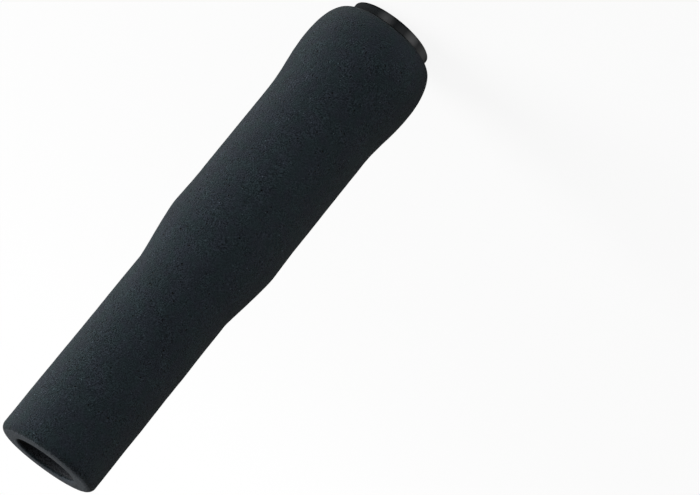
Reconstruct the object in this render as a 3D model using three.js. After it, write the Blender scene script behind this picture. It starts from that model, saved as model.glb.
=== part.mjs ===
// A bicycle handlebar grip: a silicone-foam sleeve and the push-in plug that closes the bar's end.
// It stands on the plug's rim, and +Z runs up the grip's axis to the open end that goes on the bar first.
// Sizes are in millimetres, radii unless a name says otherwise.

import * as THREE from 'three';

// Fits
const SEAT_GAP = 0.3; // between pieces that rest on or in each other

// Foam sleeve, from its plug end up to its open end
const BORE_RADIUS = 9.25; // relaxed, before the bar stretches it
const END_FACE_RADIUS = 15; // flat face that the plug sits against
const SHOULDER_HEIGHT = 11.3; // end face to the crest of the outer bulge
const BULGE_RADIUS = 18.4; // crest under the edge of the hand
const BULGE_LENGTH = 19.7; // crest of the bulge to the palm's rest
const PALM_RADIUS = 16.8;
const PALM_LENGTH = 29.5;
const SWELL_LENGTH = 11.3; // palm's rest to the crest of the middle swell
const SWELL_RADIUS = 17.05;
const FLARE_LENGTH = 18.3; // crest of the swell to the barrel
const BARREL_ROOT_RADIUS = 14.85; // where the flare leaves the barrel
const BARREL_LENGTH = 59;
const BARREL_RADIUS = 15; // at the open end
const OPEN_EDGE_ROUND = 2.1; // ground edge between the barrel and the open end's face
const BORE_EDGE_ROUND = 0.5;

// Plug: a flanged cap with a recess for the disc, and a hollow barbed stem
const FLANGE_RADIUS = 12.55;
const RIM_ROUND = 0.6; // outer corner of the rim that the grip stands on
const FLANGE_BACK_ROUND = 0.4; // the flange's corner beside the groove
const LIP_WIDTH = 1.3; // rim around the recess
const LIP_ROUND = 0.2;
const DISC_DEPTH = 1.6; // the disc's face below the rim
const FLANGE_WEB = 0.6; // material between the recess and the groove
const GROOVE_DEPTH = 1.4; // how far the neck is cut in behind the flange
const NECK_HEIGHT = 1.2;
const STEM_RADIUS = 7;
const STEM_WALL = 1.5;
const STEM_FLOOR = 1.2; // material between the recess and the stem's hollow
const BARB_COUNT = 4;
const BARB_START = 2.5; // neck to the first barb
const BARB_PITCH = 5;
const BARB_HEIGHT = 3;
const BARB_EDGE = 0.5; // thickness of a barb at its rim
const NOSE_CHAMFER = 0.8;

// Disc in the plug's recess
const DISC_THICKNESS = 0.5;
const DISC_CHAMFER = 0.12;

// Facets around the axis, in fours so that the box is centred on it
const SLEEVE_FACETS = 56;
const PLUG_FACETS = 48;

// Heights and radii that follow from the sizes above
const discTop = DISC_DEPTH + DISC_THICKNESS;
const recessFloor = discTop + SEAT_GAP;
const flangeTop = recessFloor + FLANGE_WEB;
const neckTop = flangeTop + NECK_HEIGHT;
const recessRadius = FLANGE_RADIUS - LIP_WIDTH;
const neckRadius = FLANGE_RADIUS - GROOVE_DEPTH;
const barbRadius = BORE_RADIUS - SEAT_GAP;
const firstBarb = neckTop + BARB_START;
const stemTop = firstBarb + BARB_COUNT * BARB_PITCH;

const sleeveFoot = neckTop + SEAT_GAP;
const bulgeCrest = sleeveFoot + SHOULDER_HEIGHT;
const palmBottom = bulgeCrest + BULGE_LENGTH;
const palmTop = palmBottom + PALM_LENGTH;
const swellCrest = palmTop + SWELL_LENGTH;
const barrelRoot = swellCrest + FLARE_LENGTH;
const openEnd = barrelRoot + BARREL_LENGTH;

// Share of a blend's length that each end keeps along the axis: even, or crisp as at a flare's foot
const SOFT = 1 / 3;
const CREST = 0.2;
const CRISP = 0.1;

const point = (radius, height) => new THREE.Vector2(radius, height);

const line = (from, to) => [new THREE.LineCurve(from, to), 1];

// A quarter of an ellipse round a centre, starting at a whole number of quarter turns.
function quarter(centre, acrossRadius, upRadius, quarterTurn, steps) {
  const start = (quarterTurn * Math.PI) / 2;
  const turn = Math.PI / 2;
  return [
    new THREE.EllipseCurve(centre.x, centre.y, acrossRadius, upRadius, start, start + turn),
    steps,
  ];
}

// A change of radius that leaves and arrives parallel to the axis.
function blend(from, to, leaving, arriving, steps) {
  const rise = to.y - from.y;
  return [
    new THREE.CubicBezierCurve(
      from,
      point(from.x, from.y + leaving * rise),
      point(to.x, to.y - arriving * rise),
      to,
    ),
    steps,
  ];
}

// Turns an outline round the Z axis. Each piece is a curve with its number of steps.
function turned(pieces, facets) {
  const points = pieces.flatMap(([curve, steps]) => curve.getPoints(steps));
  const outline = points.filter((p, i) => i === 0 || p.distanceTo(points[i - 1]) > 1e-6);
  return new THREE.LatheGeometry(outline, facets).rotateX(Math.PI / 2);
}

function part(name, geometry, look) {
  const mesh = new THREE.Mesh(geometry, new THREE.MeshStandardMaterial(look));
  mesh.name = name;
  return mesh;
}

// The sleeve's closed section: end face, bulge, palm, swell, flare and barrel, then down the bore.
function foamSleeve() {
  const boreFoot = point(BORE_RADIUS, sleeveFoot);
  const faceEdge = point(END_FACE_RADIUS, sleeveFoot);
  const bulge = point(BULGE_RADIUS, bulgeCrest);
  const palmLow = point(PALM_RADIUS, palmBottom);
  const palmHigh = point(PALM_RADIUS, palmTop);
  const swell = point(SWELL_RADIUS, swellCrest);
  const root = point(BARREL_ROOT_RADIUS, barrelRoot);
  const barrelEdge = point(BARREL_RADIUS, openEnd - OPEN_EDGE_ROUND);
  const faceOut = point(BARREL_RADIUS - OPEN_EDGE_ROUND, openEnd);
  const faceIn = point(BORE_RADIUS + BORE_EDGE_ROUND, openEnd);
  const boreTop = point(BORE_RADIUS, openEnd - BORE_EDGE_ROUND);
  const shoulderOut = BULGE_RADIUS - END_FACE_RADIUS;
  const pieces = [
    line(boreFoot, faceEdge),
    quarter(point(END_FACE_RADIUS, bulgeCrest), shoulderOut, SHOULDER_HEIGHT, -1, 8),
    blend(bulge, palmLow, SOFT, SOFT, 7),
    line(palmLow, palmHigh),
    blend(palmHigh, swell, SOFT, CREST, 4),
    blend(swell, root, CREST, CRISP, 8),
    line(root, barrelEdge),
    quarter(point(faceOut.x, barrelEdge.y), OPEN_EDGE_ROUND, OPEN_EDGE_ROUND, 0, 5),
    line(faceOut, faceIn),
    quarter(point(faceIn.x, boreTop.y), BORE_EDGE_ROUND, BORE_EDGE_ROUND, 1, 3),
    line(boreTop, boreFoot),
  ];
  const look = { color: 0x24292d, roughness: 0.95, metalness: 0 };
  return part('foam_sleeve', turned(pieces, SLEEVE_FACETS), look);
}

// One barb of the stem: a flat back towards the flange and a ramp towards the nose.
function barb(base) {
  const root = point(STEM_RADIUS, base);
  const back = point(barbRadius, base);
  const ramp = point(barbRadius, base + BARB_EDGE);
  const end = point(STEM_RADIUS, base + BARB_HEIGHT);
  const next = point(STEM_RADIUS, base + BARB_PITCH);
  return [line(root, back), line(back, ramp), line(ramp, end), line(end, next)];
}

// The plug's section runs from the recess's floor, round the rim, over the flange and up the stem.
function endPlug() {
  const floorEdge = point(recessRadius, recessFloor);
  const lipIn = point(recessRadius, LIP_ROUND);
  const rimIn = point(recessRadius + LIP_ROUND, 0);
  const rimOut = point(FLANGE_RADIUS - RIM_ROUND, 0);
  const bandLow = point(FLANGE_RADIUS, RIM_ROUND);
  const bandHigh = point(FLANGE_RADIUS, flangeTop - FLANGE_BACK_ROUND);
  const backEdge = point(FLANGE_RADIUS - FLANGE_BACK_ROUND, flangeTop);
  const neckLow = point(neckRadius, flangeTop);
  const neckHigh = point(neckRadius, neckTop);
  const stemFoot = point(STEM_RADIUS, neckTop);
  const barbs = Array.from({ length: BARB_COUNT }, (_, i) => barb(firstBarb + i * BARB_PITCH));
  const stemEnd = point(STEM_RADIUS, stemTop);
  const noseOut = point(STEM_RADIUS - NOSE_CHAMFER, stemTop + NOSE_CHAMFER);
  const hollowTop = point(STEM_RADIUS - STEM_WALL, stemTop + NOSE_CHAMFER);
  const hollowFloor = point(STEM_RADIUS - STEM_WALL, recessFloor + STEM_FLOOR);
  const pieces = [
    line(point(0, recessFloor), floorEdge),
    line(floorEdge, lipIn),
    [new THREE.QuadraticBezierCurve(lipIn, point(recessRadius, 0), rimIn), 2],
    line(rimIn, rimOut),
    quarter(point(rimOut.x, bandLow.y), RIM_ROUND, RIM_ROUND, -1, 4),
    line(bandLow, bandHigh),
    quarter(point(backEdge.x, bandHigh.y), FLANGE_BACK_ROUND, FLANGE_BACK_ROUND, 0, 3),
    line(backEdge, neckLow),
    line(neckLow, neckHigh),
    line(neckHigh, stemFoot),
    line(stemFoot, point(STEM_RADIUS, firstBarb)),
    ...barbs.flat(),
    line(stemEnd, noseOut),
    line(noseOut, hollowTop),
    line(hollowTop, hollowFloor),
    line(hollowFloor, point(0, hollowFloor.y)),
  ];
  const look = { color: 0x2a292b, roughness: 0.35, metalness: 0 };
  return part('end_plug', turned(pieces, PLUG_FACETS), look);
}

function plugDisc() {
  const edge = recessRadius - SEAT_GAP;
  const faceEdge = point(edge - DISC_CHAMFER, DISC_DEPTH);
  const side = point(edge, DISC_DEPTH + DISC_CHAMFER);
  const backEdge = point(edge, discTop);
  const pieces = [
    line(point(0, DISC_DEPTH), faceEdge),
    line(faceEdge, side),
    line(side, backEdge),
    line(backEdge, point(0, discTop)),
  ];
  const look = { color: 0x8b755f, roughness: 0.3, metalness: 0.6 };
  return part('plug_disc', turned(pieces, PLUG_FACETS), look);
}

const grip = new THREE.Group();
grip.add(foamSleeve(), endPlug(), plugDisc());

export default grip;
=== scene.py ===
import math

import bmesh
import bpy
from mathutils import Matrix, Vector, noise


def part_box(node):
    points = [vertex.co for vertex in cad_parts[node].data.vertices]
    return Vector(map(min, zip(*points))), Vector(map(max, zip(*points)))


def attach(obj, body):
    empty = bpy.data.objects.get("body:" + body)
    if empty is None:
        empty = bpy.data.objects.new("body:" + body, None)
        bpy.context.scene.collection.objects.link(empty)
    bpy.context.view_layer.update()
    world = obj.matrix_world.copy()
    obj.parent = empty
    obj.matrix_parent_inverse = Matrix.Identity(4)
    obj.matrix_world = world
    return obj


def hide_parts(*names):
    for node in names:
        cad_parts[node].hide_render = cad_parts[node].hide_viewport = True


# A silicone-foam handlebar grip that stands on the plug in its outer end, open end up.
# Blender works in metres, and the sizes and textures here are in millimetres where no name says otherwise.
MM = 0.001

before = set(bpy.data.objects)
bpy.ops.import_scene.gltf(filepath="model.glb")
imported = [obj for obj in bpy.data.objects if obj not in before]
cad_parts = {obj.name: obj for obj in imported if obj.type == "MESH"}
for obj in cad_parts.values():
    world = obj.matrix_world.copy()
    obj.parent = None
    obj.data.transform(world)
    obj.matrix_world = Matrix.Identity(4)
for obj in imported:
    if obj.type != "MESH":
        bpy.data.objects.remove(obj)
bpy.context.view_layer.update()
foot, mouth = (corner.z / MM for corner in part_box("foam_sleeve"))
bulge_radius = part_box("foam_sleeve")[1].x / MM
flange_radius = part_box("end_plug")[1].x / MM
stem_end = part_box("end_plug")[1].z / MM
disc_face, disc_back = (corner.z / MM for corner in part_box("plug_disc"))
disc_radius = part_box("plug_disc")[1].x / MM

# Foam sleeve, from its plug end up to its open end
BORE_RADIUS = 9.25
SHOULDER_HEIGHT = 11.3
BULGE_LENGTH = 19.7
PALM_RADIUS = 16.8
PALM_LENGTH = 29.5
SWELL_LENGTH = 11.3
SWELL_RADIUS = 17.05
FLARE_LENGTH = 18.3
BARREL_ROOT_RADIUS = 14.85
BARREL_RADIUS = 15.0
OPEN_EDGE_ROUND = 2.1
BORE_EDGE_ROUND = 0.5
PLUG_END_EDGE_ROUND = 0.4

# Plug: a flanged cap with a recess for the disc, and a hollow barbed stem
RIM_ROUND = 0.6
FLANGE_BACK_ROUND = 0.4
LIP_WIDTH = 1.3
LIP_ROUND = 0.2
SEAT_GAP = 0.3
FLANGE_WEB = 0.6
GROOVE_DEPTH = 1.4
NECK_HEIGHT = 1.2
STEM_RADIUS = 7.0
STEM_WALL = 1.5
STEM_FLOOR = 1.2
BARB_COUNT = 4
BARB_START = 2.5
BARB_PITCH = 5.0
BARB_HEIGHT = 3.0
BARB_EDGE = 0.5
NOSE_CHAMFER = 0.8
DISC_CHAMFER = 0.12

# Foam beside the plug: it puffs down round the flange's back, clear of it
PUFF_DEPTH = 1.05
PUFF_RADIUS = 13.75
PUFF_INNER_RADIUS = 13.1

# The open end is cut a little off square: how far the cut's middle stands off, how much further its +X and
# +Y sides do, and how far down the foam leans with it
CUT_MIDDLE = -0.1
CUT_SIDE = 0.57
CUT_BACK = 0.35
CUT_REACH = 22.0

# Unevenness of the ground foam: over what length, and how far it swells or dips
SWELLS = ((9.0, 0.07), (2.6, 0.03))

# Share of a blend's height for which an end of it keeps along the axis
EVEN = 1 / 3
CREST = 0.2
CRISP = 0.1
ROUNDED = 0.5

# How a quarter round leaves: along the axis, or across it
ALONG = 1
ACROSS = 0

# Mesh fineness: the pitch along a section, the fewest steps of a curve, and the steps around the axis
SKIN_PITCH = 0.5
BORE_PITCH = 4.0
PLUG_PITCH = 0.8
DISC_PITCH = 1.0
CURVE_STEPS = 4
SKIN_STEPS = 232
PLUG_STEPS = 160
WELD_DISTANCE = 0.001
CREASE_DEGREES = 30


class Section:
    """Half of a turned piece's section, as points (radius, height) in millimetres."""

    def __init__(self, radius, height, pitch):
        self.points = [(radius, height)]
        self.pitch = pitch

    def _follow(self, curve, length, least):
        """Adds points of a curve from 0 to 1 at the section's pitch, and at least so many of them."""
        steps = max(least, math.ceil(length / self.pitch))
        self.points += [curve(step / steps) for step in range(1, steps + 1)]

    def line(self, radius, height):
        start, end = Vector(self.points[-1]), Vector((radius, height))
        self._follow(lambda t: tuple(start.lerp(end, t)), (end - start).length, 1)

    def round(self, radius, height, leaving, least=CURVE_STEPS):
        """A quarter of an ellipse to a point, leaving along the axis or across it."""
        r0, z0 = self.points[-1]
        dr, dz = radius - r0, height - z0

        def curve(t):
            rise, run = math.sin(t * math.pi / 2), 1 - math.cos(t * math.pi / 2)
            along, across = (rise, run) if leaving == ALONG else (run, rise)
            return r0 + dr * across, z0 + dz * along

        self._follow(curve, abs(dr) + abs(dz), least)

    def blend(self, radius, height, leaving, arriving):
        """A change of radius that leaves and arrives along the axis, each for a share of the height."""
        r0, z0 = self.points[-1]
        rise = height - z0

        def curve(t):
            early, late, end = 3 * t * (1 - t) ** 2, 3 * t * t * (1 - t), t ** 3
            climb = early * leaving + late * (1 - arriving) + end
            return r0 + (radius - r0) * (late + end), z0 + rise * climb

        self._follow(curve, abs(rise), CURVE_STEPS)


def turned(name, section, steps, closed=False):
    """Spins a section round the Z axis into a new object."""
    mesh = bmesh.new()
    verts = [mesh.verts.new((r * MM, 0, z * MM)) for r, z in section.points]
    edges = [mesh.edges.new(pair) for pair in zip(verts, verts[1:])]
    if closed:
        edges.append(mesh.edges.new((verts[-1], verts[0])))
    bmesh.ops.spin(
        mesh,
        geom=verts + edges,
        cent=(0, 0, 0),
        axis=(0, 0, 1),
        angle=2 * math.pi,
        steps=steps,
        use_merge=True,
    )
    bmesh.ops.remove_doubles(mesh, verts=mesh.verts, dist=WELD_DISTANCE * MM)
    bmesh.ops.recalc_face_normals(mesh, faces=mesh.faces)
    for face in mesh.faces:
        face.smooth = True
    data = bpy.data.meshes.new(name)
    mesh.to_mesh(data)
    mesh.free()
    piece = bpy.data.objects.new(name, data)
    bpy.context.scene.collection.objects.link(piece)
    return piece


def crisp(piece):
    """Keeps the piece's sharp corners sharp under smooth shading."""
    mesh = bmesh.new()
    mesh.from_mesh(piece.data)
    for edge in mesh.edges:
        edge.smooth = edge.calc_face_angle(0) < math.radians(CREASE_DEGREES)
    mesh.to_mesh(piece.data)
    mesh.free()


class Wire:
    """An output socket in a node graph. Arithmetic on it adds Math nodes, and | takes the larger value."""

    def __init__(self, graph, socket):
        self.graph = graph
        self.socket = socket

    def _math(self, operation, first, second):
        return self.graph.node("ShaderNodeMath", {"operation": operation}, {0: first, 1: second})

    def __add__(self, other):
        return self._math("ADD", self, other)

    def __sub__(self, other):
        return self._math("SUBTRACT", self, other)

    def __rsub__(self, other):
        return self._math("SUBTRACT", other, self)

    def __mul__(self, other):
        return self._math("MULTIPLY", self, other)

    def __or__(self, other):
        return self._math("MAXIMUM", self, other)

    __radd__ = __add__
    __rmul__ = __mul__
    __ror__ = __or__


class Graph:
    """The nodes of a material or of the world."""

    def __init__(self, owner):
        owner.use_nodes = True
        self.tree = owner.node_tree

    def node(self, kind, settings=None, sockets=None, output=0):
        """Adds a node: its settings first, then the values or links of its sockets."""
        node = self.tree.nodes.new(kind)
        for key, value in (settings or {}).items():
            setattr(node, key, value)
        self.fill(node, sockets or {})
        return Wire(self, node.outputs[output])

    def fill(self, node, sockets):
        """Links or sets the sockets of a node."""
        for key, value in sockets.items():
            if isinstance(value, Wire):
                self.tree.links.new(value.socket, node.inputs[key])
            else:
                node.inputs[key].default_value = value

    def white_where_seen(self, end, share):
        """Mixes a share of plain white into the end's shader where the camera, gloss or glass looks."""
        inlet = self.tree.nodes[end].inputs["Surface"]
        own = Wire(self, inlet.links[0].from_socket)
        rays = ("Is Camera Ray", "Is Glossy Ray", "Is Transmission Ray")
        camera, gloss, glass = (self.node("ShaderNodeLightPath", output=ray) for ray in rays)
        white = self.node("ShaderNodeEmission", {}, {"Color": (1, 1, 1, 1), "Strength": 1})
        factor = share * (camera | gloss | glass)
        mixed = self.node("ShaderNodeMixShader", {}, {0: factor, 1: own, 2: white})
        self.tree.links.new(mixed.socket, inlet)


# Specks: how softly their places are picked, and the share of their width that is full
SPECK_PICK_SOFTNESS = 0.02
SPECK_CORE = 0.5


class Look(Graph):
    """A material around one Principled BSDF, in object coordinates scaled to millimetres."""

    def __init__(self, name, constants):
        self.material = bpy.data.materials.new(name)
        super().__init__(self.material)
        self.shader = self.tree.nodes["Principled BSDF"]
        self.fill(self.shader, constants)
        place = self.node("ShaderNodeTexCoord", output="Object")
        self.place = self.vector("SCALE", {0: place, "Scale": 1 / MM})

    def vector(self, operation, sockets, output=0):
        """Maths on vectors and colours."""
        return self.node("ShaderNodeVectorMath", {"operation": operation}, sockets, output)

    def noise(self, size, detail=2.0, roughness=0.5):
        """Noise from 0 to 1 whose features are about that many millimetres wide."""
        sockets = {"Vector": self.place, "Scale": 1 / size, "Detail": detail, "Roughness": roughness}
        return self.node("ShaderNodeTexNoise", {}, sockets, "Fac")

    def rings(self, size, detail=3.0):
        """Noise from 0 to 1 that changes only with the distance from the axis."""
        sockets = {"W": self.reach(), "Scale": 1 / size, "Detail": detail}
        return self.node("ShaderNodeTexNoise", {"noise_dimensions": "1D"}, sockets)

    def cells(self, size, output):
        """Scattered cells that many millimetres apart: the distance to a cell's middle, or its colour."""
        sockets = {"Vector": self.place, "Scale": 1 / size}
        return self.node("ShaderNodeTexVoronoi", {}, sockets, output)

    def specks(self, pitch, width, share):
        """1 inside round specks, each a width of the pitch between them, in that share of the places."""
        pick = self.node("ShaderNodeSeparateColor", {}, {0: self.cells(pitch, "Color")}, "Red")
        chosen = self.step(pick, 1 - share, 1 - share + SPECK_PICK_SOFTNESS)
        return self.step(self.cells(pitch, "Distance"), width, width * SPECK_CORE) * chosen

    def spot(self, place, reach):
        """1 at a place, fading out to 0 at that many millimetres from it."""
        return self.step(self.vector("DISTANCE", {0: self.place, 1: place}, "Value"), reach, 0)

    def step(self, value, low, high):
        """0 below low and 1 above high, with a soft rise between, or a fall where low is the larger."""
        sockets = {"Value": value, "From Min": low, "From Max": high}
        return self.node("ShaderNodeMapRange", {"interpolation_type": "SMOOTHSTEP"}, sockets)

    def along(self, way):
        """How far a point lies along a direction."""
        return self.vector("DOT_PRODUCT", {0: self.place, 1: way}, "Value")

    def height(self):
        """The height over the floor."""
        return self.along((0, 0, 1))

    def reach(self):
        """The distance from the grip's axis."""
        across = self.vector("MULTIPLY", {0: self.place, 1: (1, 1, 0)})
        return self.vector("LENGTH", {0: across}, "Value")

    def mix(self, factor, low, high):
        """A colour between two."""
        return self.node("ShaderNodeMix", {"data_type": "RGBA"}, {0: factor, 6: low, 7: high}, 2)

    def shade(self, colour, factor):
        """A colour made lighter or darker by a factor."""
        return self.vector("SCALE", {0: colour, "Scale": factor})

    def bump(self, relief, depth):
        """A bumped normal. Relief 1 stands that many millimetres over relief 0."""
        return self.node("ShaderNodeBump", {}, {"Height": relief, "Distance": depth * MM}, "Normal")

    def finish(self, sockets):
        """Fills the shader's varying sockets, and gives the material."""
        self.fill(self.shader, sockets)
        return self.material


def srgb(red, green, blue):
    """A colour as a screen shows it, 0 to 255, as the linear values that shaders take."""

    def linear(level):
        # The screen's curve is straight at its dark end
        return (level / 255 / 12.92) if level < 11 else ((level / 255 + 0.055) / 1.055) ** 2.4

    return (linear(red), linear(green), linear(blue), 1.0)


# Foam's colours. Where there are two, the foam drifts between them
SKIN_COLOURS = (srgb(42, 52, 56), srgb(44, 50, 57))
# The cut face's pale colours are partly cut foam's own and partly painted sheen, where the face catches light
# at a grazing angle
CUT_AND_SHEEN_COLOURS = (srgb(59, 65, 71), srgb(79, 85, 92))
# The bore's wall is painted darker further down than at its mouth, as painted shade
DEEP_BORE_SHADE_COLOUR = srgb(49, 52, 57)
BORE_MOUTH_COLOUR = srgb(65, 67, 71)
# Painted shadow on the bore's +X wall
BORE_SHADOW_COLOUR = srgb(20, 23, 27)

# Foam's shine: a little dusty sheen and no gloss
FOAM_SHINE = {
    "Sheen Weight": 0.08,
    "Sheen Roughness": 0.5,
    "Sheen Tint": (1.0, 0.95, 0.85, 1.0),
    "Specular IOR Level": 0.0,
}
FOAM_ROUGHNESS = 0.9
PORE_ROUGHNESS = 0.08
GLINT_POLISH = 0.2

# Foam's patterns: how wide their features are, and which part of a noise counts as a soft step
CLOUD_WIDTH = 9.0
OPEN_PATCH_WIDTH = 4.5
TINT_WIDTH = 3.5
GRAIN_WIDTH = 0.36
CUT_MOTTLE_WIDTH = 1.2
PATCH_STEP = (0.35, 0.65)
GRAIN_STEP = (0.3, 0.7)

# Foam's specks: the pitch between them, their width as a share of it, and the share of places that have one
PORES = (1.5, 0.2, 0.35)
FINE_PORES = (0.8, 0.3, 0.6)
GLINTS = (1.1, 0.2, 0.3)

# How much lighter or darker each pattern makes the foam
FOAM_LEVEL = 0.9
CLOUD_TONE = 0.35
GRAIN_TONE = 0.85
PORE_TONE = 0.85
FINE_PORE_TONE = 0.4
GLINT_TONE = 1.7
TEXTURE_MEAN = 0.42
# Painted bounce light: how much the smooth band by the plug and the shoulder patch are lifted
SMOOTH_BOUNCE_TONE = 0.08
PAINTED_BOUNCE_TONE = 0.38
PITTED_TONE = 0.12

# How strongly the texture shows: on closed and open patches, and what each zone adds or takes
CLOSED_PATCH_TEXTURE = 0.4
OPEN_PATCH_TEXTURE = 0.85
PITTED_TEXTURE = 0.5
CUT_TEXTURE = 0.6
SMOOTH_TEXTURE = 0.7

# Foam's relief against its grain's, and the grain's height
PORE_RELIEF = 1.6
FINE_PORE_RELIEF = 1.0
GLINT_RELIEF = 0.6
FOAM_RELIEF_HEIGHT = 0.13

# The cut's pale face is worn further down the edge on its -X side, and its border is ragged: that wear, the
# raggedness and its width, and the rises over the cut's middle where the face starts and is full
CUT_WEAR = 0.2
RAGGED_HEIGHT = 0.9
RAGGED_WIDTH = 0.7
CUT_FACE_RISES = (0.06, 0.2)

# Zones of the foam, and where each starts and is full. Depths are below the cut, heights over the sleeve's
# foot, and clearances from the bore's wall
PITTED_DEPTHS = (2.4, 0.9)
BORE_DEPTHS = (0.6, 0.95)
# Over these depths the bore's painted shade fades out towards the mouth
BORE_SHADE_DEPTHS = (3.0, 0.6)
BORE_CLEARANCES = (0.45, 0.3)
SMOOTH_HEIGHTS = (4.5, 2.0)

# The bore's wall is painted darker on its +X side, a painted shadow where the side light doesn't reach: where
# that painted shadow starts and is full
BORE_SHADOW_STEP = (1.5, 8.0)

# The skin is painted paler on the shoulder's shade side, as painted bounce light from the floor: the middle
# of that patch, and its reach
PAINTED_BOUNCE_PATCH = (-9.0, -12.5, 5.5)
PAINTED_BOUNCE_REACH = 14.0


def foam_look():
    """Ground silicone foam: fine open pores all over, pitted and paler where the open end is cut, that
    paleness partly painted sheen; with painted shade and a painted shadow in the bore, and painted bounce
    light near the plug.
    """
    look = Look("silicone_foam", FOAM_SHINE)
    clouds = look.noise(CLOUD_WIDTH, detail=3.0)
    open_patches = look.step(look.noise(OPEN_PATCH_WIDTH), *PATCH_STEP)
    tint = look.step(look.noise(TINT_WIDTH), *PATCH_STEP)
    grain = look.step(look.noise(GRAIN_WIDTH, detail=1.0), *GRAIN_STEP)
    pores = look.specks(*PORES)
    fine_pores = look.specks(*FINE_PORES)
    glints = look.specks(*GLINTS)

    # Heights are taken square to the cut, whose edge is ragged and pitted
    edge = mouth + CUT_MIDDLE
    squared = look.along((-(CUT_SIDE + CUT_WEAR) / BARREL_RADIUS, -CUT_BACK / BARREL_RADIUS, 1))

    def below(depths):
        """Rises from 0 at the first depth below the cut to 1 at the second."""
        start, full = depths
        return look.step(squared, edge - start, edge - full)

    ragged = squared + RAGGED_HEIGHT * look.noise(RAGGED_WIDTH, detail=3.0)
    cut = look.step(ragged, *(edge + rise for rise in CUT_FACE_RISES))
    pitted = below(PITTED_DEPTHS) * (1 - cut)
    # The last of the skin before the plug is smooth, and is painted a little lighter there as painted bounce
    # light
    smooth = look.step(look.height(), *(foot + rise for rise in SMOOTH_HEIGHTS))
    # A pale patch on the shoulder's shade side: painted bounce light
    painted_bounce = look.spot(PAINTED_BOUNCE_PATCH, PAINTED_BOUNCE_REACH)

    skin = look.mix(tint, *SKIN_COLOURS)
    # The cut face's paler colour is partly painted sheen
    outside = look.mix(cut, skin, look.mix(look.noise(CUT_MOTTLE_WIDTH), *CUT_AND_SHEEN_COLOURS))
    wall = look.step(look.reach(), *(BORE_RADIUS + gap for gap in BORE_CLEARANCES))
    # Painted shade: the bore's wall darker further down from its mouth
    bore_depth_shade = look.mix(below(BORE_SHADE_DEPTHS), DEEP_BORE_SHADE_COLOUR, BORE_MOUTH_COLOUR)
    # Painted shadow: the bore's +X wall darker where the side light doesn't reach
    bore_shadow = look.step(look.along((1, 0, 0)), *BORE_SHADOW_STEP)
    base = look.mix(wall * below(BORE_DEPTHS), outside, look.mix(bore_shadow, bore_depth_shade, BORE_SHADOW_COLOUR))

    patchiness = CLOSED_PATCH_TEXTURE + OPEN_PATCH_TEXTURE * open_patches
    zones = (1 + PITTED_TEXTURE * pitted) * (1 - CUT_TEXTURE * cut) * (1 - SMOOTH_TEXTURE * smooth)
    dips = PORE_TONE * pores + FINE_PORE_TONE * fine_pores
    texture = patchiness * zones * (GRAIN_TONE * grain - dips + GLINT_TONE * glints - TEXTURE_MEAN)
    # Clouds are the foam's own tone; the lifts of the smooth band and of the shoulder patch are painted
    # bounce light
    paler = CLOUD_TONE * clouds + SMOOTH_BOUNCE_TONE * smooth + PAINTED_BOUNCE_TONE * painted_bounce
    level = FOAM_LEVEL + paler - PITTED_TONE * pitted + texture
    relief = grain - PORE_RELIEF * pores - FINE_PORE_RELIEF * fine_pores + GLINT_RELIEF * glints
    return look.finish(
        {
            "Base Color": look.shade(base, level),
            "Roughness": FOAM_ROUGHNESS + PORE_ROUGHNESS * pores - GLINT_POLISH * glints,
            "Normal": look.bump(relief, FOAM_RELIEF_HEIGHT),
        }
    )


# Plug's colours, shine and fine texture
MOULDING_COLOURS = (srgb(31, 33, 35), srgb(38, 41, 43))
# Painted shade on the flange's bottom corner, where light doesn't reach
CORNER_SHADE_COLOUR = srgb(17, 18, 19)
MOULDING_SHINE = {"Specular IOR Level": 0.0, "Coat Roughness": 0.3, "Coat IOR": 1.65}
MOULDING_COAT = 0.05
MOULDING_ROUGHNESS = 0.34
FLOW_WIDTH = 6.0
FLOW_ROUGHNESS = 0.06
SCUFF_WIDTH = 1.8
SCUFF_STEP = (0.55, 0.75)
SCUFF_ROUGHNESS = 0.12
# The flange's bottom corner, painted darker as painted shade and rougher: where that ends and is full
CORNER_HEIGHTS = (0.8, 0.3)
CORNER_ROUGHNESS = 0.4
FINE_WIDTH = 0.12
FINE_HEIGHT = 0.006

# Spots on the flange that handling has polished: their places round it in degrees, their reach and shine
POLISH_HEIGHT = 1.9
POLISHED_SPOTS = (
    (15, 3.4, 0.65),
    (-28, 3.9, 0.95),
    (-13, 3.4, 0.18),
    (-53, 6.0, 0.36),
    (98, 3.0, 0.7),
    (141, 2.6, 0.8),
    (-112, 2.8, 0.7),
    (-158, 3.0, 0.8),
)


def plug_look():
    """Satin black moulding with faint flow marks, polished spots round its flange, and painted shade on its
    bottom corner.
    """
    look = Look("satin_moulding", MOULDING_SHINE)
    scuffs = look.step(look.noise(SCUFF_WIDTH, detail=5.0, roughness=0.7), *SCUFF_STEP)
    flow = look.noise(FLOW_WIDTH)
    corner = look.step(look.height(), *CORNER_HEIGHTS)
    marks = SCUFF_ROUGHNESS * scuffs + FLOW_ROUGHNESS * flow + CORNER_ROUGHNESS * corner
    polish = 0
    for degrees, reach, shine in POLISHED_SPOTS:
        turn = math.radians(degrees)
        middle = (flange_radius * math.sin(turn), -flange_radius * math.cos(turn), POLISH_HEIGHT)
        polish = shine * look.spot(middle, reach) | polish
    return look.finish(
        {
            # The bottom corner's dark colour is painted shade
            "Base Color": look.mix(corner, look.mix(flow, *MOULDING_COLOURS), CORNER_SHADE_COLOUR),
            "Roughness": MOULDING_ROUGHNESS + marks,
            "Coat Weight": MOULDING_COAT * (1 - corner) + polish,
            "Normal": look.bump(look.noise(FINE_WIDTH), FINE_HEIGHT),
        }
    )


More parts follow.
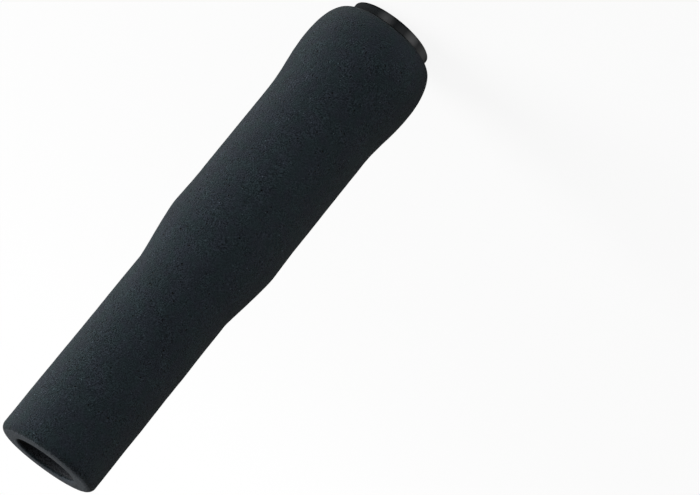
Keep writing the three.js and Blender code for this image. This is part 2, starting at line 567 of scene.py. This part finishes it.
# Disc's colours, its shine across the turning marks, and those marks
BRONZE_COLOURS = (srgb(128, 106, 88), srgb(148, 124, 97))
BRONZE_SHINE = {"Metallic": 0.75, "Coat Weight": 0.6, "Coat Roughness": 0.06, "Anisotropic": 0.8}
BRONZE_ROUGHNESS = 0.24
BLUSH_WIDTH = 11.0
RING_WIDTH = 0.2
RING_LEVEL = 0.9
RING_TONE = 0.2
RING_ROUGHNESS = 0.12
RING_HEIGHT = 0.008


def disc_look():
    """Bronze-tinted metal under a clear coat, turned, so that its shine fans out from the middle."""
    look = Look("bronze_disc", BRONZE_SHINE)
    rings = look.rings(RING_WIDTH)
    blush = look.step(look.noise(BLUSH_WIDTH, detail=1.0), *PATCH_STEP)
    return look.finish(
        {
            "Base Color": look.shade(look.mix(blush, *BRONZE_COLOURS), RING_LEVEL + RING_TONE * rings),
            "Roughness": BRONZE_ROUGHNESS + RING_ROUGHNESS * rings,
            "Normal": look.bump(rings, RING_HEIGHT),
        }
    )


def foam_section():
    """The sleeve from its plug end up the outside, over the open end and down the bore."""
    bulge = foot + SHOULDER_HEIGHT
    palm = bulge + BULGE_LENGTH
    palm_top = palm + PALM_LENGTH
    swell = palm_top + SWELL_LENGTH
    root = swell + FLARE_LENGTH
    section = Section(BORE_RADIUS, foot + PLUG_END_EDGE_ROUND, SKIN_PITCH)
    section.round(BORE_RADIUS + PLUG_END_EDGE_ROUND, foot, ALONG, least=2)
    section.line(PUFF_INNER_RADIUS - PUFF_DEPTH / 2, foot)
    section.blend(PUFF_INNER_RADIUS, foot - PUFF_DEPTH, CRISP, ROUNDED)
    section.line(PUFF_RADIUS, foot - PUFF_DEPTH)
    section.round(bulge_radius, bulge, ACROSS)
    section.blend(PALM_RADIUS, palm, EVEN, EVEN)
    section.line(PALM_RADIUS, palm_top)
    section.blend(SWELL_RADIUS, swell, EVEN, CREST)
    section.blend(BARREL_ROOT_RADIUS, root, CREST, CRISP)
    section.line(BARREL_RADIUS, mouth - OPEN_EDGE_ROUND)
    section.round(BARREL_RADIUS - OPEN_EDGE_ROUND, mouth, ALONG, least=6)
    section.line(BORE_RADIUS + BORE_EDGE_ROUND, mouth)
    section.round(BORE_RADIUS, mouth - BORE_EDGE_ROUND, ACROSS, least=3)
    section.pitch = BORE_PITCH
    section.line(*section.points[0])
    section.points.pop()
    return section


def hand_finish(sleeve):
    """Makes the outside slightly uneven, as a grinding wheel leaves it, and the open end's cut off square."""
    for vert in sleeve.data.vertices:
        place = vert.co / MM
        cut = max(0, 1 - (mouth - place.z) / CUT_REACH)
        slope = (CUT_SIDE * place.x + CUT_BACK * place.y) / BARREL_RADIUS
        place.z += (CUT_MIDDLE + slope) * cut ** 2
        reach = math.hypot(place.x, place.y)
        if reach > BORE_RADIUS + BORE_EDGE_ROUND:
            rise = sum(height * noise.noise(place / length) for length, height in SWELLS)
            place.xy *= 1 + rise / reach
        vert.co = place * MM


def foam_sleeve():
    sleeve = turned("sleeve", foam_section(), SKIN_STEPS, closed=True)
    hand_finish(sleeve)
    sleeve.data.materials.append(foam_look())
    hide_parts("foam_sleeve")
    return sleeve


def plug_section():
    """The cap from the recess's floor round the rim and flange, then up the barbed stem and its hollow."""
    recess_floor = disc_back + SEAT_GAP
    recess_radius = flange_radius - LIP_WIDTH
    neck_radius = flange_radius - GROOVE_DEPTH
    flange_top = recess_floor + FLANGE_WEB
    neck_top = flange_top + NECK_HEIGHT
    barb_radius = BORE_RADIUS - SEAT_GAP
    hollow_radius = STEM_RADIUS - STEM_WALL
    hollow_floor = recess_floor + STEM_FLOOR
    section = Section(0, recess_floor, PLUG_PITCH)
    section.line(recess_radius, recess_floor)
    section.line(recess_radius, LIP_ROUND)
    section.round(recess_radius + LIP_ROUND, 0, ALONG)
    section.line(flange_radius - RIM_ROUND, 0)
    section.round(flange_radius, RIM_ROUND, ACROSS, least=6)
    section.line(flange_radius, flange_top - FLANGE_BACK_ROUND)
    section.round(flange_radius - FLANGE_BACK_ROUND, flange_top, ALONG)
    section.line(neck_radius, flange_top)
    section.line(neck_radius, neck_top)
    section.line(STEM_RADIUS, neck_top)
    for barb in range(BARB_COUNT):
        base = neck_top + BARB_START + barb * BARB_PITCH
        section.line(STEM_RADIUS, base)
        section.line(barb_radius, base)
        section.line(barb_radius, base + BARB_EDGE)
        section.line(STEM_RADIUS, base + BARB_HEIGHT)
    section.line(STEM_RADIUS, stem_end - NOSE_CHAMFER)
    section.line(STEM_RADIUS - NOSE_CHAMFER, stem_end)
    section.line(hollow_radius, stem_end)
    section.line(hollow_radius, hollow_floor)
    section.line(0, hollow_floor)
    return section


def end_plug():
    plug = turned("plug", plug_section(), PLUG_STEPS)
    crisp(plug)
    plug.data.materials.append(plug_look())
    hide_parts("end_plug")
    return plug


def plug_disc():
    section = Section(0, disc_face, DISC_PITCH)
    section.line(disc_radius - DISC_CHAMFER, disc_face)
    section.round(disc_radius, disc_face + DISC_CHAMFER, ACROSS, least=3)
    section.line(disc_radius, disc_back)
    section.line(0, disc_back)
    disc = turned("disc", section, PLUG_STEPS)
    crisp(disc)
    disc.data.materials.append(disc_look())
    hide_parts("plug_disc")
    return disc


# The photo's view: its size and focal length in pixels, the open end's centre and the barrel's width there
PHOTO_WIDTH = 700
PHOTO_HEIGHT = 495
FOCAL_PIXELS = 3000
MOUTH_PIXEL = (44.82, 461.39)
BARREL_PIXELS = 113.15
MM_PER_PIXEL = 2 * BARREL_RADIUS / BARREL_PIXELS

# How steeply the grip's axis rises across the photo, and how far its open end leans towards the camera
AXIS_SLOPE = math.radians(51.55)
AXIS_TILT = math.radians(14.28)

# The camera's sensor in millimetres, and what it clips, in metres
SENSOR_WIDTH = 36
CLIP_START = 0.01
CLIP_END = 20


def camera():
    """A camera at the photo's angle, rolled so that the plug end shows at the top right."""
    ahead = Vector((0, math.cos(AXIS_TILT), -math.sin(AXIS_TILT)))
    down_grip = Vector((0, -math.sin(AXIS_TILT), -math.cos(AXIS_TILT)))
    across_grip = ahead.cross(down_grip)
    right = math.cos(AXIS_SLOPE) * down_grip + math.sin(AXIS_SLOPE) * across_grip
    up = math.sin(AXIS_SLOPE) * down_grip - math.cos(AXIS_SLOPE) * across_grip
    offset_right = MOUTH_PIXEL[0] - PHOTO_WIDTH / 2
    offset_up = PHOTO_HEIGHT / 2 - MOUTH_PIXEL[1]
    sight = offset_right * right + offset_up * up + FOCAL_PIXELS * ahead
    place = Vector((0, 0, mouth * MM)) - sight * MM_PER_PIXEL * MM
    data = bpy.data.cameras.new("camera")
    data.sensor_fit = "HORIZONTAL"
    data.sensor_width = SENSOR_WIDTH
    data.lens = SENSOR_WIDTH * FOCAL_PIXELS / PHOTO_WIDTH
    data.clip_start = CLIP_START
    data.clip_end = CLIP_END
    viewer = bpy.data.objects.new("camera", data)
    turn = Matrix((right, up, -ahead)).transposed()
    viewer.matrix_world = Matrix.Translation(place) @ turn.to_4x4()
    bpy.context.scene.collection.objects.link(viewer)
    bpy.context.scene.camera = viewer


# Softboxes, all aimed at the grip's middle: name, place and width in metres, and the level to which each
# lights a white surface that faces it
GRIP_MIDDLE = Vector((0, 0, 0.077))
SOFTBOXES = (
    ("side_key", (0.95, 0.2, 0.25), 1.1, 1.65),
    ("top_fill", (0.6, 0.1, 1.0), 0.7, 0.25),
    ("front_fill", (0.15, -1.0, 0.35), 0.8, 0.18),
    ("back_fill", (0.0, 1.0, 0.35), 0.8, 0.24),
)
WORLD_LEVEL = 0.13

# The floor: its radius in metres, its paper, and how much of it is plain white to the camera: this share
# beside the grip, where its shadow lies, and all of it further out
FLOOR_RADIUS = 6
FLOOR_STEPS = 64
PAPER = {"Base Color": (0.9, 0.9, 0.9, 1), "Roughness": 0.9}
WHITE_SHARE = 0.9
SHADOW_REACHES = (150, 900)


def softbox(name, place, size, level):
    """A square area lamp that lights a white surface facing it to that level."""
    data = bpy.data.lights.new(name, "AREA")
    data.shape = "SQUARE"
    data.size = size
    way = GRIP_MIDDLE - Vector(place)
    data.energy = level * math.pi ** 2 * way.length_squared
    lamp = bpy.data.objects.new(name, data)
    lamp.location = place
    lamp.rotation_mode = "QUATERNION"
    lamp.rotation_quaternion = way.to_track_quat("-Z", "Y")
    bpy.context.scene.collection.objects.link(lamp)


def white_floor():
    """A round sheet of white paper under the grip."""
    mesh = bmesh.new()
    bmesh.ops.create_circle(mesh, cap_ends=True, radius=FLOOR_RADIUS, segments=FLOOR_STEPS)
    data = bpy.data.meshes.new("floor")
    mesh.to_mesh(data)
    mesh.free()
    floor = bpy.data.objects.new("floor", data)
    bpy.context.scene.collection.objects.link(floor)
    paper = Look("white_paper", PAPER)
    clear = paper.step(paper.reach(), *SHADOW_REACHES)
    paper.white_where_seen("Material Output", WHITE_SHARE + (1 - WHITE_SHARE) * clear)
    data.materials.append(paper.material)


def studio():
    """A white floor, a plain soft world and four softboxes."""
    scene = bpy.context.scene
    scene.view_settings.view_transform = "Standard"
    scene.world = bpy.data.worlds.new("studio")
    around = Graph(scene.world)
    around.fill(around.tree.nodes["Background"], {"Color": (1, 1, 1, 1), "Strength": WORLD_LEVEL})
    around.white_where_seen("World Output", 1.0)
    white_floor()
    for box in SOFTBOXES:
        softbox(*box)


for piece in (foam_sleeve(), end_plug(), plug_disc()):
    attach(piece, "root")
camera()
studio()
